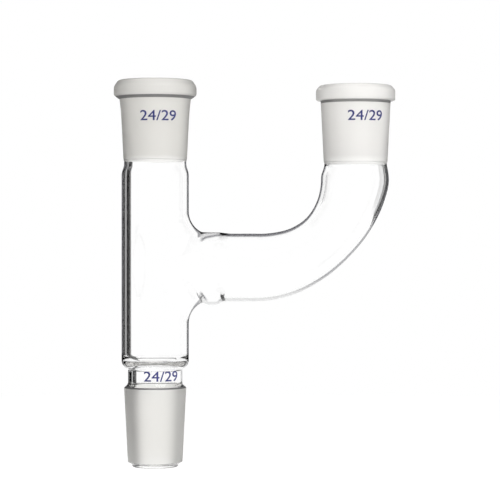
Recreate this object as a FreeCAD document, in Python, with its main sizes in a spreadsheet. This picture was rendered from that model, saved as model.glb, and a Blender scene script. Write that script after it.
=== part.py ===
import FreeCAD, Part
import os

import Sketcher

# A three-way adapter blown as one piece of borosilicate glass: an upright tube with a ground socket
# at its top and a ground cone at its foot, and a bent side arm that ends in a second socket.
# Millimetres. Z runs up the tube's axis and X towards the side arm. The origin lies on the axis in
# the cone's gauge plane, where the ground cone is as wide as its size mark says.

NODE = "adapter_body"

SIZES = {
    # Ground joint: width at its wide end, ground length, and taper on the diameter.
    "gauge_dia": 24.0,
    "ground_length": 29.0,
    "joint_taper": 0.1,
    # Upright tube, and the wall that it shares with the neck, the sockets and the arm.
    "tube_dia": 25.9,
    "wall": 1.8,
    # Cone at the foot, with a clear lip past its ground zone.
    "cone_wall": 2.2,
    "end_bevel_start": 0.6,
    "end_bevel_drop": 1.0,
    "lip_dia": 17.9,
    "lip_wall": 1.2,
    "lip_reach": 0.9,
    "lip_round": 0.5,
    # Neck between the cone and the tube.
    "neck_dia": 20.9,
    "cone_edge_width": 0.35,
    "cone_edge_height": 0.5,
    "cone_shoulder_height": 2.5,
    "throat_round": 1.8,
    "neck_top": 6.6,
    "shoulder_inner_round": 1.2,
    "shoulder_outer_round": 3.2,
    "floor_thickness": 2.0,
    "floor_inner_round": 1.6,
    "floor_outer_round": 4.0,
    # Main socket, at the top of the tube.
    "main_top": 118.8,
    "main_socket_depth": 32.0,
    "main_collar_dia": 32.0,
    "main_collar_height": 7.1,
    "main_top_ease_width": 1.7,
    "main_top_ease_height": 2.5,
    "main_low_ease_width": 2.0,
    "main_low_ease_height": 1.35,
    "main_flare_width": 0.35,
    "main_flare_length": 8.2,
    "main_flare_round": 96.0,
    # Side socket, at the end of the arm.
    "side_socket_depth": 30.9,
    "side_collar_dia": 30.6,
    "side_collar_height": 5.9,
    "side_top_ease_width": 1.6,
    "side_top_ease_height": 1.7,
    "side_low_ease_width": 0.5,
    "side_low_ease_height": 0.4,
    # Both sockets: the groove pinched in under them, and the eased mouth.
    "pinch": 0.2,
    "pinch_length": 1.6,
    "pinch_round": 6.6,
    "mouth_ease": 0.5,
    # Side arm: the stub drawn out of the tube, the weld with its ring, and the bent tube.
    "branch_height": 46.5,
    "stub_inset": 0.2,
    "root_round": 9.0,
    "weld_land": 0.3,
    "ring_height": 1.15,
    "ring_back": 5.0,
    "ring_flat": 6.2,
    "ring_round": 3.0,
    "arm_swell": 0.3,
    "arm_run": 16.95,
    "bend_radius": 38.25,
    "bend_squeeze": 1.95,
    "arm_end_dia": 26.2,
    "arm_end_ease": 0.75,
    "arm_end_run": 1.15,
}

# How far a cutting profile runs past the glass that it opens.
CUT_MARGIN = 1.0

# Widest miss allowed where an edge is looked up by the two round walls that it lies on.
EDGE_MISS = 0.02

# Angles of the bend, in degrees, at which the arm's round section is set, and the angle at which it
# is back to full width before the groove under the side socket.
BEND_STATIONS = (15, 30, 45, 60, 75)
CROWN_ANGLE = 84

LEFT = 1
RIGHT = -1

document = FreeCAD.newDocument("three_way_adapter")

sheet = document.addObject("Spreadsheet::Sheet", "sizes")
for row, (alias, size) in enumerate(SIZES.items(), start=1):
    sheet.set(f"A{row}", alias)
    sheet.set(f"B{row}", str(size))
    sheet.setAlias(f"B{row}", alias)
document.recompute()

body = document.addObject("PartDesign::Body", NODE)
body.Label = NODE
planes = {feature.Role: feature for feature in body.Origin.OriginFeatures}


def number(text):
    """The value of a size expression."""
    return float(body.evalExpression(text))


def sketch_on(role, name, along_y="0", lift="0", tilt=0):
    """A sketch on an origin plane, moved along its own y, lifted off it, and tilted about its own x."""
    sketch = body.newObject("Sketcher::SketchObject", name)
    sketch.AttachmentSupport = (planes[role], [""])
    sketch.MapMode = "FlatFace"
    turn = FreeCAD.Rotation(FreeCAD.Vector(1, 0, 0), tilt)
    sketch.AttachmentOffset = FreeCAD.Placement(FreeCAD.Vector(), turn)
    sketch.setExpression(".AttachmentOffset.Base.y", along_y)
    sketch.setExpression(".AttachmentOffset.Base.z", lift)
    return sketch


def bind(sketch, kind, places, text):
    """Adds a dimension to a sketch that follows a size expression."""
    index = sketch.addConstraint(Sketcher.Constraint(kind, *places, number(text)))
    sketch.setExpression(f"Constraints[{index}]", text)


def arc_between(start, end, radius, side):
    """The short arc between two points whose centre lies to the left or right of the way."""
    chord = end - start
    middle = (start + end) / 2
    reach = max(radius**2 - (chord.Length / 2) ** 2, 0) ** 0.5
    across = FreeCAD.Vector(-chord.y, chord.x, 0).normalize() * side
    crown = middle + across * (reach - radius)
    if side == LEFT:
        return Part.Arc(start, crown, end)
    return Part.Arc(end, crown, start)


def draw_outline(sketch, corners, closed=True):
    """Joins corners by lines, and by an arc after a corner that also gives a radius and a side."""
    spots = [FreeCAD.Vector(number(corner[0]), number(corner[1]), 0) for corner in corners]
    edge_count = len(corners) if closed else len(corners) - 1
    ends = []
    for index in range(edge_count):
        start = spots[index]
        end = spots[(index + 1) % len(corners)]
        if len(corners[index]) == 2:
            sketch.addGeometry(Part.LineSegment(start, end))
            ends.append((1, 2))
        else:
            radius, side = corners[index][2:]
            sketch.addGeometry(arc_between(start, end, number(radius), side))
            ends.append((1, 2) if side == LEFT else (2, 1))
    for index in range(edge_count):
        first = ends[index][0]
        if closed or index > 0:
            before = (index - 1) % edge_count
            meeting = Sketcher.Constraint("Coincident", before, ends[before][1], index, first)
            sketch.addConstraint(meeting)
        bind(sketch, "DistanceX", (-1, 1, index, first), corners[index][0])
        bind(sketch, "DistanceY", (-1, 1, index, first), corners[index][1])
        if len(corners[index]) > 2:
            bind(sketch, "Radius", (index,), corners[index][2])
    if not closed:
        last = edge_count - 1
        bind(sketch, "DistanceX", (-1, 1, last, ends[last][1]), corners[-1][0])
        bind(sketch, "DistanceY", (-1, 1, last, ends[last][1]), corners[-1][1])


def s_rise(start_r, end_r, first_round, last_round):
    """Height over which two arcs carry a wall sideways, upright at both ends."""
    rounds = f"({first_round} + {last_round})"
    return f"sqrt({rounds}^2 - ({rounds} - abs({end_r} - {start_r}))^2)"


def s_curve(start_r, start_z, end_r, first_round, last_round):
    """The three corners of such a wall, going up."""
    rise = s_rise(start_r, end_r, first_round, last_round)
    share = f"({first_round} / ({first_round} + {last_round}))"
    join_r = f"({start_r} + ({end_r} - {start_r}) * {share})"
    join_z = f"({start_z} + {rise} * {share})"
    turn = RIGHT if number(end_r) > number(start_r) else LEFT
    return [
        (start_r, start_z, first_round, turn),
        (join_r, join_z, last_round, -turn),
        (end_r, f"({start_z} + {rise})"),
    ]


def laid_over(corners):
    """The same corners with height and width exchanged, for a wall that runs along the arm."""
    return [(across, up, *(rest[:1] + [-side for side in rest[1:]])) for up, across, *rest in corners]


def upright_round(across, along):
    """Radius of an arc that leaves an upright wall and moves across over the height along."""
    return f"((({across})^2 + ({along})^2) / (2 * ({across})))"


def turned(kind, name, sketch, axis):
    """A profile turned through a full circle about an axis of its sketch."""
    feature = body.newObject(kind, name)
    feature.Profile = sketch
    feature.ReferenceAxis = (sketch, [axis])
    feature.Angle = 360
    document.recompute()
    return feature


def joint_r(depth):
    """Radius of a ground joint at a depth below its wide end."""
    return f"({gauge_r} - sizes.joint_taper / 2 * {depth})"


# Radii and places that more than one profile uses.
gauge_r = "(sizes.gauge_dia / 2)"
tube_r = "(sizes.tube_dia / 2)"
tube_bore_r = f"({tube_r} - sizes.wall)"
neck_r = "(sizes.neck_dia / 2)"
neck_bore_r = f"({neck_r} - sizes.wall)"
lip_r = "(sizes.lip_dia / 2)"
lip_bore_r = f"({lip_r} - sizes.lip_wall)"
stub_r = f"({tube_r} - sizes.stub_inset)"
stub_bore_r = f"({stub_r} - sizes.wall)"
bevel_depth = "(sizes.ground_length - sizes.end_bevel_start)"
lip_top = f"(0 - {bevel_depth} - sizes.end_bevel_drop)"
tip = f"({lip_top} - sizes.lip_reach)"
weld_x = f"({tube_r} + sizes.root_round + sizes.weld_land)"
bend_start_x = f"({weld_x} + sizes.arm_run)"
side_x = f"({bend_start_x} + sizes.bend_radius)"
bend_end_z = "(sizes.branch_height + sizes.bend_radius)"

# Each socket ends below in a groove, where its ground bore is narrowest.
groove_z = {
    "main": "(sizes.main_top - sizes.main_socket_depth)",
    "side": f"({bend_end_z} + sizes.arm_end_run)",
}
top_z = {
    "main": "sizes.main_top",
    "side": f"({groove_z['side']} + sizes.side_socket_depth)",
}
groove_bore_r = {socket: joint_r(f"sizes.{socket}_socket_depth") for socket in groove_z}
groove_r = {
    socket: f"({bore_r} + sizes.wall - sizes.pinch)" for socket, bore_r in groove_bore_r.items()
}


def socket_wall(socket, flared=False):
    """Outer corners of a socket, from the groove under it to its flat rim."""
    top = top_z[socket]
    collar_r = f"(sizes.{socket}_collar_dia / 2)"
    collar_foot = f"({top} - sizes.{socket}_collar_height)"
    wall_foot_depth = f"(sizes.{socket}_socket_depth - sizes.pinch_length)"
    wall_foot_r = f"({joint_r(wall_foot_depth)} + sizes.wall)"
    wall_top_r = f"({joint_r(f'sizes.{socket}_collar_height')} + sizes.wall)"
    groove_round = upright_round(f"{wall_foot_r} - {groove_r[socket]}", "sizes.pinch_length")
    corners = [
        (groove_r[socket], groove_z[socket], groove_round, RIGHT),
        (wall_foot_r, f"({top} - {wall_foot_depth})"),
    ]
    if flared:
        flare_depth = f"(sizes.{socket}_collar_height + sizes.{socket}_flare_length)"
        flare_r = f"({joint_r(flare_depth)} + sizes.wall)"
        flare_round = f"sizes.{socket}_flare_round"
        corners.append((flare_r, f"({top} - {flare_depth})", flare_round, RIGHT))
        wall_top_r = f"({wall_top_r} + sizes.{socket}_flare_width)"
    corners += [
        (wall_top_r, collar_foot),
        (f"({collar_r} - sizes.{socket}_low_ease_width)", collar_foot),
        (collar_r, f"({collar_foot} + sizes.{socket}_low_ease_height)"),
        (collar_r, f"({top} - sizes.{socket}_top_ease_height)"),
        (f"({collar_r} - sizes.{socket}_top_ease_width)", top),
    ]
    return corners


def socket_bore(socket):
    """Inner corners of a socket, from its groove to past its eased mouth."""
    mouth_r = f"({gauge_r} + sizes.mouth_ease)"
    return [
        (groove_bore_r[socket], groove_z[socket]),
        (joint_r("sizes.mouth_ease"), f"({top_z[socket]} - sizes.mouth_ease)"),
        (mouth_r, top_z[socket]),
        (mouth_r, f"({top_z[socket]} + {CUT_MARGIN})"),
    ]


# Outside of the upright tube: lip, bevel and ground cone, neck, rounded shoulder, straight tube,
# then the groove under the socket, its flared wall and its collar.
cone_shoulder_r = f"({gauge_r} - sizes.cone_edge_width)"
cone_shoulder_rise = "(sizes.cone_shoulder_height - sizes.cone_edge_height)"
cone_shoulder_round = upright_round(f"{cone_shoulder_r} - {neck_r}", cone_shoulder_rise)
tube_end_rise = s_rise(tube_r, groove_r["main"], "sizes.pinch_round", "sizes.pinch_round")
tube_profile = sketch_on("YZ_Plane", "tube_profile")
draw_outline(
    tube_profile,
    [
        ("0", tip),
        (f"({lip_r} - sizes.lip_round)", tip, "sizes.lip_round", LEFT),
        (lip_r, f"({tip} + sizes.lip_round)"),
        (lip_r, lip_top),
        (joint_r(bevel_depth), f"(0 - {bevel_depth})"),
        (gauge_r, "0"),
        (cone_shoulder_r, "sizes.cone_edge_height", cone_shoulder_round, RIGHT),
        (neck_r, "sizes.cone_shoulder_height"),
        *s_curve(
            neck_r,
            "sizes.neck_top",
            tube_r,
            "sizes.shoulder_inner_round",
            "sizes.shoulder_outer_round",
        ),
        *s_curve(
            tube_r,
            f"({groove_z['main']} - {tube_end_rise})",
            groove_r["main"],
            "sizes.pinch_round",
            "sizes.pinch_round",
        )[:-1],
        *socket_wall("main", flared=True),
        ("0", top_z["main"]),
    ],
)
turned("PartDesign::Revolution", "upright_tube", tube_profile, "V_Axis")


# Side arm, outside. A stub is drawn out of the tube and flares into it. The bent tube is welded on
# where that flare has run out. It swells past the weld and narrows through the bend.
arm_root_r = f"({stub_r} + sizes.arm_swell)"
arm_end_r = "(sizes.arm_end_dia / 2)"
ring_r = f"({arm_root_r} + sizes.ring_height)"
ring_start_rise = s_rise(stub_r, ring_r, "sizes.ring_round", "sizes.ring_round")
ring_end_rise = s_rise(ring_r, arm_root_r, "sizes.ring_round", "sizes.ring_round")
ring_flat_start_x = f"({weld_x} - sizes.ring_back)"
ring_flat_end_x = f"({ring_flat_start_x} + sizes.ring_flat)"
ring_start_x = f"({ring_flat_start_x} - {ring_start_rise})"
ring_end_x = f"({ring_flat_end_x} + {ring_end_rise})"


def bend_place(angle):
    """Where the arm's centre line lies at an angle of its quarter turn, as x and z."""
    across = f"({bend_start_x} + sizes.bend_radius * sin({angle} deg))"
    up = f"({bend_end_z} - sizes.bend_radius * cos({angle} deg))"
    return across, up


def bend_r(angle):
    """Outer radius in the bend, drawn in most at the middle of the quarter turn."""
    change = f"({arm_end_r} - {arm_root_r}) * {angle} / 90"
    return f"({arm_root_r} + {change} - sizes.bend_squeeze * sin({2 * angle} deg)^2)"


# Each station is x, z, angle and outer radius, from the weld to the groove under the side socket.
arm_stations = [
    (weld_x, "sizes.branch_height", 0, stub_r),
    (ring_end_x, "sizes.branch_height", 0, arm_root_r),
    (f"(({ring_end_x} + {bend_start_x}) / 2)", "sizes.branch_height", 0, arm_root_r),
    (bend_start_x, "sizes.branch_height", 0, arm_root_r),
    *((*bend_place(angle), angle, bend_r(angle)) for angle in BEND_STATIONS),
    (*bend_place(CROWN_ANGLE), CROWN_ANGLE, arm_end_r),
    (side_x, bend_end_z, 90, f"({arm_end_r} - sizes.arm_end_ease)"),
    (side_x, groove_z["side"], 90, groove_r["side"]),
]


def round_section(name, place_x, place_z, angle, radius):
    """A circle square to the arm's centre line."""
    sketch = sketch_on("YZ_Plane", name, along_y=place_z, lift=place_x, tilt=-angle)
    sketch.addGeometry(Part.Circle(FreeCAD.Vector(), FreeCAD.Vector(0, 0, 1), number(radius)))
    sketch.addConstraint(Sketcher.Constraint("Coincident", 0, 3, -1, 1))
    bind(sketch, "Radius", (0,), radius)
    return sketch


def straight_stub(kind, name, radius):
    """A round bar, or its like cut away, from the tube's axis out to the weld."""
    section = round_section(f"{name}_section", "0", "sizes.branch_height", 0, radius)
    feature = body.newObject(kind, name)
    feature.Profile = section
    feature.Type = "Length"
    feature.setExpression("Length", weld_x)
    feature.Reversed = kind == "PartDesign::Pocket"
    document.recompute()
    return feature


def bent_tube(kind, name, stations):
    """A round section that changes its size along the arm's centre line."""
    sections = [round_section(f"{name}_at_{n}", *place) for n, place in enumerate(stations)]
    feature = body.newObject(kind, name)
    feature.Profile = sections[0]
    feature.Spine = (centre_line, ["Edge1", "Edge2", "Edge3"])
    feature.Transformation = "Multisection"
    feature.Sections = [(section, [""]) for section in sections[1:]]
    document.recompute()
    return feature


def edges_on_both(shape, upright_r, level_r):
    """Names of the edges on a wall round the tube's axis that also lie on one round the stub's."""
    height = number("sizes.branch_height")
    names = []
    for index, edge in enumerate(shape.Edges, start=1):
        misses = []
        for point in edge.discretize(7):
            misses.append(abs((point.x**2 + point.y**2) ** 0.5 - upright_r))
            misses.append(abs((point.y**2 + (point.z - height) ** 2) ** 0.5 - level_r))
        if max(misses) < EDGE_MISS:
            names.append(f"Edge{index}")
    return names


def flare(name, upright_r, level_r, radius):
    """Rounds the line in which the stub's wall meets the tube's."""
    base = body.Tip
    feature = body.newObject("PartDesign::Fillet", name)
    feature.Base = (base, edges_on_both(base.Shape, number(upright_r), number(level_r)))
    feature.setExpression("Radius", radius)
    document.recompute()
    return feature


centre_line = sketch_on("XZ_Plane", "arm_centre_line")
draw_outline(
    centre_line,
    [
        (weld_x, "sizes.branch_height"),
        (bend_start_x, "sizes.branch_height", "sizes.bend_radius", LEFT),
        (side_x, bend_end_z),
        (side_x, groove_z["side"]),
    ],
    closed=False,
)
straight_stub("PartDesign::Pad", "stub", stub_r)
flare("stub_flare", tube_r, stub_r, "sizes.root_round")
bent_tube("PartDesign::AdditivePipe", "bent_arm", arm_stations)

# The weld left a low ring of thicker glass round the arm, flat on top and eased at both ends.
ring_rounds = ("sizes.ring_round", "sizes.ring_round")
ring_profile = sketch_on("XZ_Plane", "weld_ring_profile", along_y="sizes.branch_height")
draw_outline(
    ring_profile,
    [
        (ring_start_x, stub_bore_r),
        *laid_over(s_curve(stub_r, ring_start_x, ring_r, *ring_rounds)),
        *laid_over(s_curve(ring_r, ring_flat_end_x, arm_root_r, *ring_rounds)),
        (ring_end_x, stub_bore_r),
    ],
)
turned("PartDesign::Revolution", "weld_ring", ring_profile, "H_Axis")

# The side socket stands on the arm's end.
side_profile = sketch_on("YZ_Plane", "side_socket_profile", lift=side_x)
draw_outline(
    side_profile,
    [("0", groove_z["side"]), *socket_wall("side"), ("0", top_z["side"])],
)
turned("PartDesign::Revolution", "side_socket", side_profile, "V_Axis")


# Bore of the upright tube: rounded lip, cone, throat into the neck, rounded floor of the tube, then
# the narrowing into the ground socket. Away from the joints it is the outside less the wall.
cone_bore_foot_r = f"({joint_r(bevel_depth)} - sizes.cone_wall)"
cone_bore_top_r = f"({gauge_r} - sizes.cone_wall)"
bore_end_rise = s_rise(tube_bore_r, groove_bore_r["main"], "sizes.pinch_round", "sizes.pinch_round")
bore_profile = sketch_on("YZ_Plane", "tube_bore_profile")
draw_outline(
    bore_profile,
    [
        ("0", f"({tip} - {CUT_MARGIN})"),
        (f"({lip_bore_r} + sizes.lip_round)", f"({tip} - {CUT_MARGIN})"),
        (f"({lip_bore_r} + sizes.lip_round)", tip, "sizes.lip_round", LEFT),
        (lip_bore_r, f"({tip} + sizes.lip_round)"),
        (lip_bore_r, lip_top),
        (cone_bore_foot_r, f"({lip_top} + sizes.cone_wall)"),
        *s_curve(
            cone_bore_top_r,
            "(0 - sizes.cone_wall)",
            neck_bore_r,
            "sizes.throat_round",
            "sizes.throat_round",
        ),
        *s_curve(
            neck_bore_r,
            "(sizes.neck_top + sizes.floor_thickness)",
            tube_bore_r,
            "sizes.floor_inner_round",
            "sizes.floor_outer_round",
        ),
        *s_curve(
            tube_bore_r,
            f"({groove_z['main']} - {bore_end_rise})",
            groove_bore_r["main"],
            "sizes.pinch_round",
            "sizes.pinch_round",
        )[:-1],
        *socket_bore("main"),
        ("0", f"({top_z['main']} + {CUT_MARGIN})"),
    ],
)
turned("PartDesign::Groove", "tube_bore", bore_profile, "V_Axis")

# Bore of the arm. It flares into the tube about the same centres as the outside does, so the wall
# keeps its thickness round the root.
straight_stub("PartDesign::Pocket", "stub_bore", stub_bore_r)
flare("stub_bore_flare", tube_bore_r, stub_bore_r, "(sizes.root_round + sizes.wall)")
bore_stations = [(x, z, angle, f"({r} - sizes.wall)") for x, z, angle, r in arm_stations[:-1]]
bore_stations.append((side_x, groove_z["side"], 90, groove_bore_r["side"]))
bent_tube("PartDesign::SubtractivePipe", "arm_bore", bore_stations)

side_bore_profile = sketch_on("YZ_Plane", "side_socket_bore_profile", lift=side_x)
draw_outline(
    side_bore_profile,
    [
        ("0", groove_z["side"]),
        *socket_bore("side"),
        ("0", f"({top_z['side']} + {CUT_MARGIN})"),
    ],
)
turned("PartDesign::Groove", "side_socket_bore", side_bore_profile, "V_Axis")

# Every feature must have been built, each cut must have taken glass away and each other feature
# added some, and the piece must be one sound solid before it is written.
faults = [item.Name for item in document.Objects if {"Invalid", "Error"} & set(item.State)]
if faults:
    raise RuntimeError(f"not built: {', '.join(faults)}")
features = [item for item in body.Group if item.isDerivedFrom("PartDesign::Feature")]
glass_before = 0.0
for feature in features:
    gained = feature.Shape.Volume - glass_before
    cuts = "bore" in feature.Name
    if (gained >= 0) if cuts else (gained <= 0):
        raise RuntimeError(f"{feature.Name} did not change the glass as it should")
    glass_before = feature.Shape.Volume
if body.Shape.isNull() or not body.Shape.isValid() or len(body.Shape.Solids) != 1:
    raise RuntimeError("the adapter is not one sound solid")

os.makedirs("parts", exist_ok=True)
body.Shape.exportStep(f"parts/{NODE}.step")
print(f"{NODE}: {body.Shape.Volume / 1000:.2f} cm3 of glass, {len(body.Shape.Faces)} faces")
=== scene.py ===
from math import acos, asin, ceil, cos, hypot, pi, radians, sin, sqrt, tan

import bmesh
import bpy
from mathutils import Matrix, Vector


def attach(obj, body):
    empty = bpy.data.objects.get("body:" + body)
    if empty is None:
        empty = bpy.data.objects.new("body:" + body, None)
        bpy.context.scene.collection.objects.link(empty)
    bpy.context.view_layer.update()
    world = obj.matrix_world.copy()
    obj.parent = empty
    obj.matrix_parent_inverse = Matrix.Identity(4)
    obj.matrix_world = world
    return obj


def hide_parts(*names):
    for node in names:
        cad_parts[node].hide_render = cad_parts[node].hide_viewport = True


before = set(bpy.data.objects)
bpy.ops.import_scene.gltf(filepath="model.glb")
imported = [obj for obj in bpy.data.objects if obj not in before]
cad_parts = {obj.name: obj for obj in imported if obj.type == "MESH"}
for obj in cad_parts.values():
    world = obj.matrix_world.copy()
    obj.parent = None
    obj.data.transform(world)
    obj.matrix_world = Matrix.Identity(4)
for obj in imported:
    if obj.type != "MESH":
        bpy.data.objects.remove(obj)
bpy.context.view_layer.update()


# Camera. It looks level and square at the plane of the two sockets, from under a metre away, with
# the eye a little above the side arm. The picture is a square of 500 pixels.
MM = 0.001
PICTURE_SIDE = 500
PIXEL = 0.3865 * MM
ORIGIN_COLUMN = 155.2
ORIGIN_ROW = 387.8
HORIZON_ROW = 235.0
eye_distance = 765 * MM
view_width = PICTURE_SIDE * PIXEL

camera_data = bpy.data.cameras.new("camera")
camera_data.lens = camera_data.sensor_width * eye_distance / view_width
camera_data.shift_y = (HORIZON_ROW - PICTURE_SIDE / 2) / PICTURE_SIDE
camera_data.clip_end = 50
camera = bpy.data.objects.new("camera", camera_data)
camera.location = (
    (PICTURE_SIDE / 2 - ORIGIN_COLUMN) * PIXEL,
    -eye_distance,
    (ORIGIN_ROW - HORIZON_ROW) * PIXEL,
)
camera.rotation_euler = (radians(90), 0, 0)
scene = bpy.context.scene
scene.collection.objects.link(camera)
scene.camera = camera
scene.view_settings.view_transform = "Standard"


# Glass body. One piece of borosilicate glass, blown on a lathe and in the flame: a straight tube with
# a ground socket above and a ground cone below, and a side arm drawn out, welded on and bent upwards
# to its own ground socket. The wall is about two millimetres thick all the way round.
wall = 1.8 * MM
tube_r = 12.95 * MM
neck_r = 10.45 * MM
branch_z = 46.5 * MM
stub_r = tube_r - 0.2 * MM
root_round = 9.0 * MM
weld_x = tube_r + root_round + 0.3 * MM
arm_root_r = 13.05 * MM
bend_start_x = weld_x + 16.95 * MM
bend_radius = 38.25 * MM
side_x = bend_start_x + bend_radius
bend_end_z = branch_z + bend_radius
side_groove_z = bend_end_z + 1.15 * MM
main_groove_z = 86.8 * MM

# The weld's ring of thicker glass. It is highest underneath, where it starts further out, past a
# notch in front of it. It is low at the sides, and slopes away further on top.
ring_r = 14.2 * MM
ring_rise = 3.9 * MM
ring_flat_start_x = 17.25 * MM
ring_flat_end_x = 23.45 * MM
ring_end_x = 26.9 * MM
ring_notch = 3.4 * MM
ring_sag = 0.25 * MM
ring_side_share = 0.25
ring_ease = 3.0 * MM
ring_top_cut = 0.6 * MM
RING_BLEND = 8

# How finely the mesh is cut: columns round the tube and half the arm, the turn in one step of an
# arc, and the short step beside each arc that keeps the shading of straight walls straight.
TUBE_COLUMNS = 132
HALF_ARM_COLUMNS = 60
ARC_STEP = radians(8)
EDGE_MARGIN = 0.3 * MM

# The finishes by number, in the order in which they are made further down.
CLEAR, BORE, NECK, CORNER, LIP, CONE, SOCKET_BORE, MAIN_SOCKET, SIDE_SOCKET, CREASE_SHADE = range(10)


def eased(corners):
    """Points in metres along an outline of (radius, height, rounding) corners in millimetres."""
    spots = [Vector((r, z)) * MM for r, z, _ in corners]
    line = [spots[0]]
    for index in range(1, len(corners) - 1):
        corner = spots[index]
        back = (spots[index - 1] - corner).normalized()
        ahead = (spots[index + 1] - corner).normalized()
        turn = pi - back.angle(ahead)
        rounding = corners[index][2] * MM
        tangent = rounding * tan(turn / 2)
        start = corner + back * tangent
        centre = corner + (back + ahead).normalized() * rounding / cos(turn / 2)
        steps = max(2, ceil(turn / ARC_STEP))
        if (start - line[-1]).length > 2 * EDGE_MARGIN:
            line += [line[-1] + (-back) * EDGE_MARGIN, start + back * EDGE_MARGIN]
        first = start - centre
        last = corner + ahead * tangent - centre
        for step in range(steps + 1):
            share = step / steps
            spot = (first * sin((1 - share) * turn) + last * sin(share * turn)) / sin(turn)
            if (centre + spot - line[-1]).length > 0.01 * MM:
                line.append(centre + spot)
    if (spots[-1] - line[-1]).length > 2 * EDGE_MARGIN:
        line += [line[-1] + ahead * EDGE_MARGIN, spots[-1] - ahead * EDGE_MARGIN]
    line.append(spots[-1])
    return line


def sideways(start_r, start_z, end_r, first_round, last_round, end_z=None):
    """The two rounded corners that carry an upright wall from one radius to another."""
    rounds = first_round + last_round
    slant = acos(1 - abs(end_r - start_r) / rounds)
    if end_z is not None:
        start_z = end_z - rounds * sin(slant)
    return [
        (start_r, start_z + first_round * tan(slant / 2), first_round),
        (end_r, start_z + rounds * sin(slant) - last_round * tan(slant / 2), last_round),
    ]


points = []
faces = []
finishes = []


def add_row(places):
    """Adds a row of points, and gives their numbers."""
    start = len(points)
    points.extend(places)
    return list(range(start, len(points)))


def add_ring(places):
    """Adds a closed row, whose first number comes again at its end."""
    row = add_row(places)
    return row + row[:1]


def join_rows(lower, upper, finish=CLEAR):
    """Fills the strip between two rows with faces."""
    for n in range(len(lower) - 1):
        faces.append((lower[n], lower[n + 1], upper[n + 1], upper[n]))
        finishes.append(finish)


def turned_ring(radius, height, axis_x=0.0, start=1, columns=TUBE_COLUMNS):
    """A level circle of points, from the side that start points to."""
    angles = [2 * pi * n / columns for n in range(columns)]
    return add_ring(
        (axis_x + start * radius * cos(a), radius * sin(a), height) for a in angles
    )


def raise_rows(outline, rows, zones, **place):
    """Goes on from the last row along an outline. Each zone has two heights and a finish."""
    below = outline[0].y
    for radius, height in outline[1:]:
        rows.append(turned_ring(radius, height, **place))
        finish = CLEAR
        for low, high, zone_finish in zones:
            if min(below, height) > low * MM and max(below, height) < high * MM:
                finish = zone_finish
        join_rows(rows[-2], rows[-1], finish)
        below = height


def window_rows(inset):
    """The stretch of the tube that the arm's root opens, from below up, and the opening's edge."""
    radius = tube_r - inset
    ball = root_round + inset
    swing = stub_r + root_round
    rows = []
    for n in range(HALF_ARM_COLUMNS + 1):
        angle = pi * (1 - n / HALF_ARM_COLUMNS)
        height = branch_z + swing * cos(angle)
        edge = asin(swing * sin(angle) / (radius + ball))
        if n in (0, HALF_ARM_COLUMNS):
            rows.append(turned_ring(radius, height))
        else:
            turns = [edge + 2 * (pi - edge) * c / TUBE_COLUMNS for c in range(TUBE_COLUMNS + 1)]
            rows.append(add_row((radius * cos(t), radius * sin(t), height) for t in turns))
    for lower, upper in zip(rows, rows[1:]):
        join_rows(lower, upper)
    opening = [row[0] for row in reversed(rows)] + [row[-1] for row in rows[1:]]
    return rows, opening


def eased_step(share):
    """Goes from 0 to 1 with level ends."""
    share = min(max(share, 0), 1)
    return share * share * (3 - 2 * share)


def weld_ring(y, z, x):
    """A point of the arm's outside, lifted onto the ring that the weld left."""
    radius = hypot(y, z)
    low = (1 - z / radius) / 2
    end_x = ring_end_x + ring_ease * (1 - low)
    proud = ring_side_share + (1 - ring_side_share) * (z / radius)**4
    crown = arm_root_r + (ring_r - arm_root_r) * proud + ring_sag * low - ring_top_cut * (1 - low)**3
    start_x = ring_flat_start_x + ring_notch * low**2
    base = arm_root_r
    share = (end_x - x) / (end_x - ring_flat_end_x)
    if x < weld_x:
        base = stub_r
        share = (x - start_x + ring_rise) / ring_rise
    lifted = base + (crown - base) * eased_step(share)
    if x < weld_x:
        rises = (max(radius - stub_r, 0), lifted - stub_r)
        lifted = stub_r + sum(rise**RING_BLEND for rise in rises) ** (1 / RING_BLEND)
    scale = max(radius, lifted) / radius
    return y * scale, z * scale


# Outer radius of the arm in millimetres at places along its centre line, counted from the weld. It
# widens a little behind the weld, is drawn in through the bend, opens again at the bend's end, and
# closes in to the groove under its socket.
ARM_ROOT_R = arm_root_r / MM
ARM_END_R = 13.1
ARM_NECK_R = 12.35
ARM_GROOVE_R = 12.065
BEND_SQUEEZE = 1.95
arm_run = (bend_start_x - weld_x) / MM
bend_length = bend_radius / MM * pi / 2
arm_stations = [
    (0, stub_r / MM),
    ((ring_end_x - weld_x) / MM, ARM_ROOT_R),
    (((ring_end_x - weld_x) / MM + arm_run) / 2, ARM_ROOT_R),
    (arm_run, ARM_ROOT_R),
]
for degrees in (15, 30, 45, 60, 75):
    drawn_in = (ARM_ROOT_R - ARM_END_R) * degrees / 90
    drawn_in += BEND_SQUEEZE * sin(radians(2 * degrees)) ** 2
    arm_stations.append((arm_run + bend_length * degrees / 90, ARM_ROOT_R - drawn_in))
arm_stations += [
    (arm_run + bend_length * 84 / 90, ARM_END_R),
    (arm_run + bend_length, ARM_NECK_R),
    (arm_run + bend_length + (side_groove_z - bend_end_z) / MM, ARM_GROOVE_R),
]


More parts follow.
